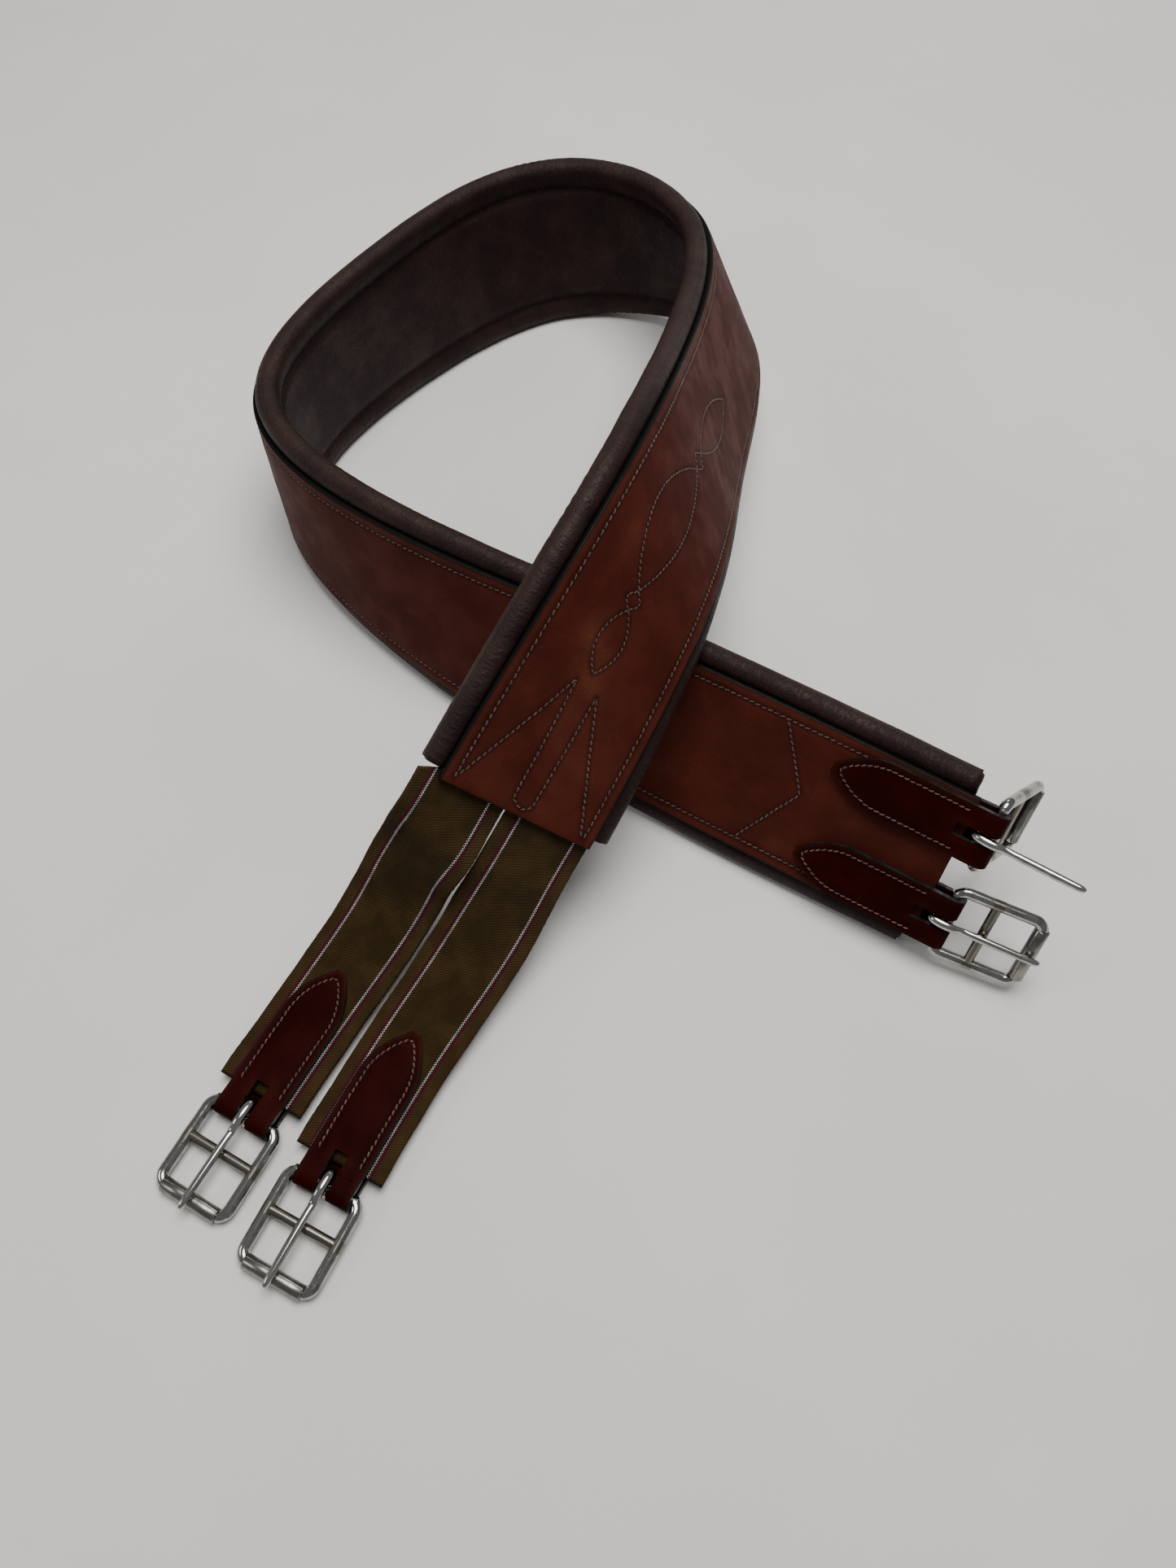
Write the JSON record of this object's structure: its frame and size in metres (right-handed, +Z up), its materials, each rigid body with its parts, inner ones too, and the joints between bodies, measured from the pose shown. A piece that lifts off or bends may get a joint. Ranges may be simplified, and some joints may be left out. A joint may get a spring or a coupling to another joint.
{
  "type": "saddle girth",
  "caption": "Padded leather saddle girth with elastic at one end, laid down as a crossed loop, with roller buckles for billet straps.",
  "frame": {"origin": "on the floor, under the middle of the whole girth's box", "axes": "+Z up from the floor, +Y from the buckle ends towards the loop, +X towards the plain end"},
  "size_m": [0.4106, 0.6456, 0.1647],
  "materials": {
    "outer_leather": "smooth reddish brown bridle leather, worn lighter, black painted edges",
    "chape_leather": "smooth dark oxblood leather with black edges and a stitched border",
    "lining_leather": "soft dark brown lining leather with fine grain and cross creases",
    "elastic_web": "ribbed woven elastic with two light zigzag lines and maroon lines beside them",
    "webbing": "woven nylon",
    "padding": "pressed felt",
    "piping_cord": "twisted cotton cord",
    "polished_metal": "polished stainless steel, lightly worn",
    "roller_metal": "duller turned stainless tube"
  },
  "bodies": {
    "girth": {"outer_leather": "outer_leather", "lining_leather": "lining_leather", "edge_piping_front": "piping_cord", "edge_piping_rear": "piping_cord", "web_core": "webbing", "padding": "padding", "elastic_front": "elastic_web", "elastic_rear": "elastic_web", "chape_plain_front": "chape_leather", "chape_plain_rear": "chape_leather"},
    "elastic_end_front": {"chape_elastic_front": "chape_leather"},
    "elastic_end_rear": {"chape_elastic_rear": "chape_leather"},
    "frame_elastic_front": {"buckle_frame_elastic_front": "polished_metal"},
    "tongue_elastic_front": {"buckle_tongue_elastic_front": "polished_metal"},
    "roller_elastic_front": {"buckle_roller_elastic_front": "roller_metal"},
    "frame_plain_front": {"buckle_frame_plain_front": "polished_metal"},
    "tongue_plain_front": {"buckle_tongue_plain_front": "polished_metal"},
    "roller_plain_front": {"buckle_roller_plain_front": "roller_metal"},
    "frame_elastic_rear": {"buckle_frame_elastic_rear": "polished_metal"},
    "tongue_elastic_rear": {"buckle_tongue_elastic_rear": "polished_metal"},
    "roller_elastic_rear": {"buckle_roller_elastic_rear": "roller_metal"},
    "frame_plain_rear": {"buckle_frame_plain_rear": "polished_metal"},
    "tongue_plain_rear": {"buckle_tongue_plain_rear": "polished_metal"},
    "roller_plain_rear": {"buckle_roller_plain_rear": "roller_metal"}
  },
  "joints": [
    {"name": "stretch_front", "type": "slide", "parent": "girth", "child": "elastic_end_front", "axis": [-0.4848, -0.8746, 0], "range_m": [0, 0.03], "stiffness_N_per_m": 2000, "deforming": ["elastic_front"]},
    {"name": "stretch_rear", "type": "slide", "parent": "girth", "child": "elastic_end_rear", "axis": [-0.4528, -0.8916, 0], "range_m": [0, 0.03], "stiffness_N_per_m": 2000, "deforming": ["elastic_rear"]},
    {"name": "frame_swing_elastic_front", "type": "hinge", "parent": "elastic_end_front", "child": "frame_elastic_front", "pos_m": [-0.16865, -0.24516, 0.00618], "axis": [-0.8746, 0.4848, 0], "range_deg": [-86.8, 48.2]},
    {"name": "tongue_swing_elastic_front", "type": "hinge", "parent": "frame_elastic_front", "child": "tongue_elastic_front", "pos_m": [-0.16865, -0.24516, 0.00618], "axis": [-0.8746, 0.4848, 0], "range_deg": [0, 90]},
    {"name": "roller_spin_elastic_front", "type": "hinge", "parent": "frame_elastic_front", "child": "roller_elastic_front", "pos_m": [-0.18874, -0.2814, 0.00386], "axis": [0.8746, -0.4848, 0], "continuous": true},
    {"name": "frame_swing_plain_front", "type": "hinge", "parent": "girth", "child": "frame_plain_front", "pos_m": [0.16684, -0.13617, 0.06669], "axis": [-0.2671, -0.4751, -0.8384], "range_deg": [-15, 120]},
    {"name": "tongue_swing_plain_front", "type": "hinge", "parent": "frame_plain_front", "child": "tongue_plain_front", "pos_m": [0.16684, -0.13617, 0.06669], "axis": [-0.2671, -0.4751, -0.8384], "range_deg": [-75, 15]},
    {"name": "roller_spin_plain_front", "type": "hinge", "parent": "frame_plain_front", "child": "roller_plain_front", "pos_m": [0.19407, -0.11345, 0.04514], "axis": [0.2671, 0.4751, 0.8384], "continuous": true},
    {"name": "frame_swing_elastic_rear", "type": "hinge", "parent": "elastic_end_rear", "child": "frame_elastic_rear", "pos_m": [-0.12935, -0.27602, 0.00618], "axis": [-0.8916, 0.4528, 0], "range_deg": [-86.8, 48.2]},
    {"name": "tongue_swing_elastic_rear", "type": "hinge", "parent": "frame_elastic_rear", "child": "tongue_elastic_rear", "pos_m": [-0.12935, -0.27602, 0.00618], "axis": [-0.8916, 0.4528, 0], "range_deg": [0, 90]},
    {"name": "roller_spin_elastic_rear", "type": "hinge", "parent": "frame_elastic_rear", "child": "roller_elastic_rear", "pos_m": [-0.14811, -0.31296, 0.00386], "axis": [0.8916, -0.4528, 0], "continuous": true},
    {"name": "frame_swing_plain_rear", "type": "hinge", "parent": "girth", "child": "frame_plain_rear", "pos_m": [0.15402, -0.15898, 0.02645], "axis": [-0.2671, -0.4751, -0.8384], "range_deg": [-80, 55]},
    {"name": "tongue_swing_plain_rear", "type": "hinge", "parent": "frame_plain_rear", "child": "tongue_plain_rear", "pos_m": [0.15402, -0.15898, 0.02645], "axis": [-0.2671, -0.4751, -0.8384], "range_deg": [0, 90]},
    {"name": "roller_spin_plain_rear", "type": "hinge", "parent": "frame_plain_rear", "child": "roller_plain_rear", "pos_m": [0.19207, -0.17528, 0.02356], "axis": [0.2671, 0.4751, 0.8384], "continuous": true}
  ]
}
